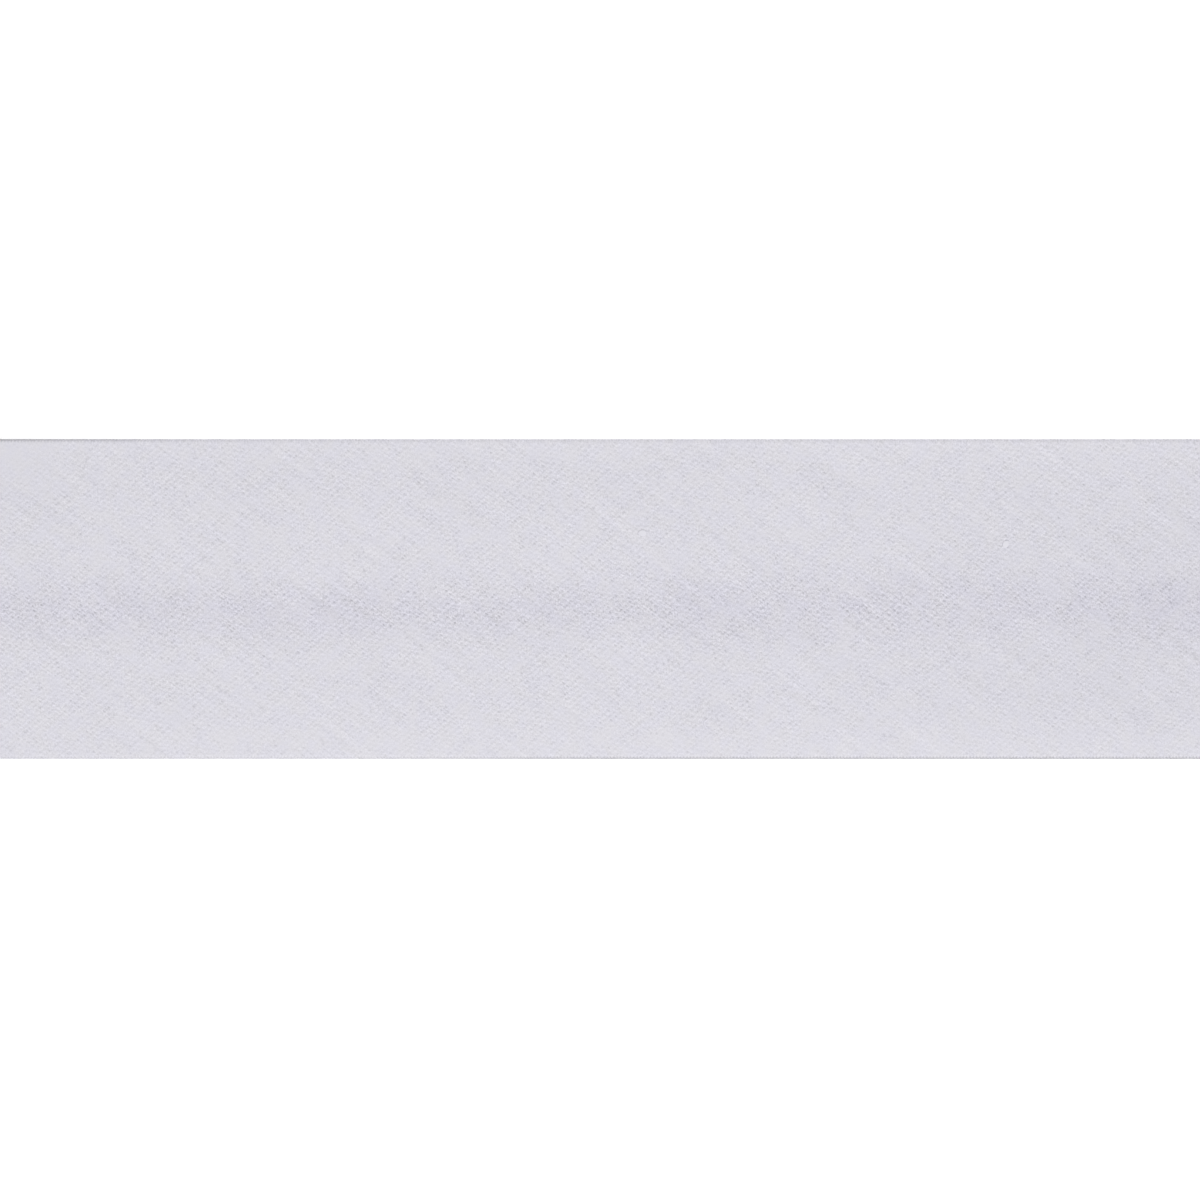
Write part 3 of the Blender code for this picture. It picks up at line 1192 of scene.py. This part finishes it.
def keep_top(mesh):
    """Deletes every face that isn't on top of the tape, and what data its points carried."""
    shape = bmesh.new()
    shape.from_mesh(mesh)
    lowest = Folds(bpy.context.scene.bias_cloth).radius + TOP_CLEAR
    under = [
        face for face in shape.faces
        if face.normal.z < TOP_FACES_UP or face.calc_center_median().z < lowest
    ]
    bmesh.ops.delete(shape, geom=under, context="FACES")
    shape.to_mesh(mesh)
    shape.free()
    for layer in list(mesh.attributes):
        if not layer.is_required and not layer.is_internal:
            mesh.attributes.remove(layer)


class BIASTAPE_OT_raise_hairs(bpy.types.Operator):
    """Scatter short hairs over the face"""

    bl_idname = "bias_tape.raise_hairs"
    bl_label = "Raise the hairs"

    def execute(self, context):
        cloth, trim = context.scene.bias_cloth, context.scene.bias_trim
        face = bpy.data.objects["tape_cloth"]
        piece = new_piece("surface_hairs", face.data.copy())
        keep_top(piece.data)
        run_tree(piece, hair_tree(), {
            "Density": trim.hair_density,
            "Length": trim.hair_length,
            "Radius": trim.hair_radius,
            "Seed": trim.seed,
            "Material": fibre_material(cloth, THREAD_TONES),
        })
        settle(piece)
        return {"FINISHED"}


# A knot's width and height, as shares of its length and of the fibre's radius
KNOT_WIDTH = 0.75
KNOT_HEIGHT = 1.2

# The curl's turns, and its radius at its end as a share of that at its start
CURL_TURNS = 0.55
CURL_CLOSES = 0.7
CURL_STEPS = 24
CURL_SIDES = 6

# How many lumps to a metre lint has, and how ragged it is, as shares of its fibre's radius
LINT_LUMPS = (4200.0, 4200.0, 4200.0)
LINT_PUSH = 0.9
LINT_RAGS = (3.0, 3.0, 1.0)

# The radius of the lint's fibre as a share of a thread end's, and its height over the cloth's outer side as
# a share of the weave's relief
LINT_FIBRE = 0.45
LINT_LIFT = 1.1


def lint_tree():
    """The tree that sets a flat knot of fibre on each point, adds the curl and folds both with the cloth."""
    inputs = {label: "NodeSocketFloat" for label in (*FOLDING, "Curl radius", "Fibre radius", "Height")}
    inputs |= {"Curl place": "NodeSocketVector", "Material": "NodeSocketMaterial"}
    nodes, points, given = new_geometry_tree("Lint", inputs)
    ball = nodes.add("GeometryNodeMeshIcoSphere", inputs={"Radius": 1.0, "Subdivisions": 3})
    size = nodes.mark("size")
    knots = nodes.add("GeometryNodeInstanceOnPoints", inputs={
        "Points": points,
        "Instance": ball.outputs[0],
        "Rotation": nodes.turned(nodes.value("GeometryNodeInputIndex")),
        "Scale": nodes.vector(size, size * KNOT_WIDTH, given["Fibre radius"] * KNOT_HEIGHT),
    })
    real = nodes.add("GeometryNodeRealizeInstances", inputs={"Geometry": knots.outputs[0]})
    spiral = nodes.add("GeometryNodeCurveSpiral", inputs={
        "Resolution": CURL_STEPS,
        "Rotations": CURL_TURNS,
        "Start Radius": given["Curl radius"],
        "End Radius": given["Curl radius"] * CURL_CLOSES,
        "Height": given["Fibre radius"],
    })
    curl = nodes.tube(spiral.outputs[0], CURL_SIDES, given["Fibre radius"])
    placed = nodes.add("GeometryNodeTransform", inputs={
        # The curl is marked for painted light, which offsets the shadow it casts on the cloth
        "Geometry": nodes.stored(curl, "lighter", 1.0),
        "Translation": given["Curl place"],
        "Rotation": (0.0, 0.0, CURL_TURN),
    })
    both = nodes.add("GeometryNodeJoinGeometry")
    for part in (real, placed):
        nodes.feed(both.inputs[0], part.outputs[0])
    push = given["Fibre radius"] * LINT_PUSH
    ragged = jostled(nodes, both.outputs[0], push, LINT_LUMPS, LINT_RAGS, given["Height"])
    return close_fibre_tree(nodes, ragged, given)


class BIASTAPE_OT_drop_lint(bpy.types.Operator):
    """Set the small knots of fibre and the curl of lint on the face"""

    bl_idname = "bias_tape.drop_lint"
    bl_label = "Drop the lint"

    def execute(self, context):
        cloth, trim = context.scene.bias_cloth, context.scene.bias_trim
        folds = Folds(cloth)
        places = np.array([(nep.x, nep.y) for nep in NEPS]) * MM
        sizes = np.array([nep.size for nep in NEPS]) * MM
        piece = points_piece("lint", folds, places, {"size": sizes})
        run_tree(piece, lint_tree(), folding_values(cloth, folds) | {
            "Curl radius": trim.curl_radius,
            "Fibre radius": trim.end_radius * LINT_FIBRE,
            "Height": cloth.thickness / 2 + cloth.relief * LINT_LIFT,
            "Curl place": (*CURL_PLACE, 0.0),
            "Material": fibre_material(cloth, LINT_TONES),
        })
        settle(piece)
        return {"FINISHED"}


# The floor's reach to each side and how far it lies under the tape, and the softbox's sides and place
FLOOR_REACH = 4.0
FLOOR_DROP = 0.02 * MM
FLOOR_ROUGHNESS = 0.8
SOFTBOX_SIDES = (0.30, 0.18)
SOFTBOX_PLACE = (0.08, -0.235, 0.42)

# The height at which the camera's frame is as wide as the setting says, and what is too near for it
FRAME_HEIGHT = 0.35 * MM
NEAREST_SEEN = 0.01


def floor_material(stage):
    """Plain white card that gives a little light of its own, as a lit table does."""
    material, nodes, shader = new_material("Floor card")
    shader.inputs["Base Color"].default_value = (*stage.floor_colour, 1.0)
    shader.inputs["Roughness"].default_value = FLOOR_ROUGHNESS
    shader.inputs["Emission Color"].default_value = (1.0, 1.0, 1.0, 1.0)
    shader.inputs["Emission Strength"].default_value = stage.floor_glow
    return material


def aimed(location, target):
    """A matrix that stands at location and looks at target, the top of its view towards +Y."""
    back = (Vector(location) - Vector(target)).normalized()
    turn = back.to_track_quat("Z", "Y")
    return Matrix.LocRotScale(Vector(location), turn, None)


class BIASTAPE_OT_set_stage(bpy.types.Operator):
    """Lay the floor, light it and set the camera straight above the tape"""

    bl_idname = "bias_tape.set_stage"
    bl_label = "Set the stage"

    def execute(self, context):
        stage = context.scene.bias_stage
        self.lay_floor(stage)
        self.light(context.scene, stage)
        self.set_camera(context.scene, stage)
        context.scene.view_settings.view_transform = "Standard"
        return {"FINISHED"}

    def lay_floor(self, stage):
        mesh = bpy.data.meshes.new("floor")
        corners = ((-1, -1), (1, -1), (1, 1), (-1, 1))
        mesh.from_pydata([(x * FLOOR_REACH, y * FLOOR_REACH, 0) for x, y in corners], [], [(0, 1, 2, 3)])
        mesh.materials.append(floor_material(stage))
        floor = new_piece("floor", mesh)
        floor.location.z = -FLOOR_DROP

    def light(self, scene, stage):
        world = bpy.data.worlds.new("Studio")
        world.use_nodes = True
        background = world.node_tree.nodes["Background"]
        background.inputs["Color"].default_value = (1.0, 1.0, 1.0, 1.0)
        background.inputs["Strength"].default_value = stage.sky
        scene.world = world
        softbox = bpy.data.lights.new("softbox", "AREA")
        softbox.shape = "RECTANGLE"
        softbox.size, softbox.size_y = SOFTBOX_SIDES
        softbox.energy = stage.softbox
        light = bpy.data.objects.new("softbox", softbox)
        light.matrix_world = aimed(SOFTBOX_PLACE, (0.0, 0.0, 0.0))
        scene.collection.objects.link(light)

    def set_camera(self, scene, stage):
        data = bpy.data.cameras.new("camera")
        data.lens = stage.lens
        camera = bpy.data.objects.new("camera", data)
        height = stage.frame_width * stage.lens / data.sensor_width
        camera.location = (0.0, -stage.below_centre, FRAME_HEIGHT + height)
        data.clip_start = NEAREST_SEEN
        scene.collection.objects.link(camera)
        scene.camera = camera


class BIASTAPE_PT_tape(bpy.types.Panel):
    """Lists the tape's pieces and their settings."""

    bl_idname = "BIASTAPE_PT_tape"
    bl_label = "Bias tape"
    bl_space_type = "VIEW_3D"
    bl_region_type = "UI"
    bl_category = "Bias tape"

    def draw(self, context):
        for operator in OPERATORS:
            self.layout.operator(operator.bl_idname)
        for settings in (context.scene.bias_cloth, context.scene.bias_trim, context.scene.bias_stage):
            box = self.layout.box()
            for name in settings.__annotations__:
                box.prop(settings, name)


SETTINGS = {"bias_cloth": ClothSettings, "bias_trim": TrimSettings, "bias_stage": StageSettings}
OPERATORS = (
    BIASTAPE_OT_lay_cloth, BIASTAPE_OT_fray_cuts, BIASTAPE_OT_raise_hairs, BIASTAPE_OT_drop_lint,
    BIASTAPE_OT_set_stage,
)


def register():
    for settings in SETTINGS.values():
        bpy.utils.register_class(settings)
    for name, settings in SETTINGS.items():
        setattr(bpy.types.Scene, name, bpy.props.PointerProperty(type=settings))
    for shown in (*OPERATORS, BIASTAPE_PT_tape):
        bpy.utils.register_class(shown)


def unregister():
    for shown in (BIASTAPE_PT_tape, *reversed(OPERATORS)):
        bpy.utils.unregister_class(shown)
    for name, settings in SETTINGS.items():
        delattr(bpy.types.Scene, name)
        bpy.utils.unregister_class(settings)


def main():
    register()
    bpy.ops.bias_tape.lay_cloth()
    bpy.ops.bias_tape.fray_cuts()
    bpy.ops.bias_tape.raise_hairs()
    bpy.ops.bias_tape.drop_lint()
    bpy.ops.bias_tape.set_stage()


if __name__ == "__main__":
    main()
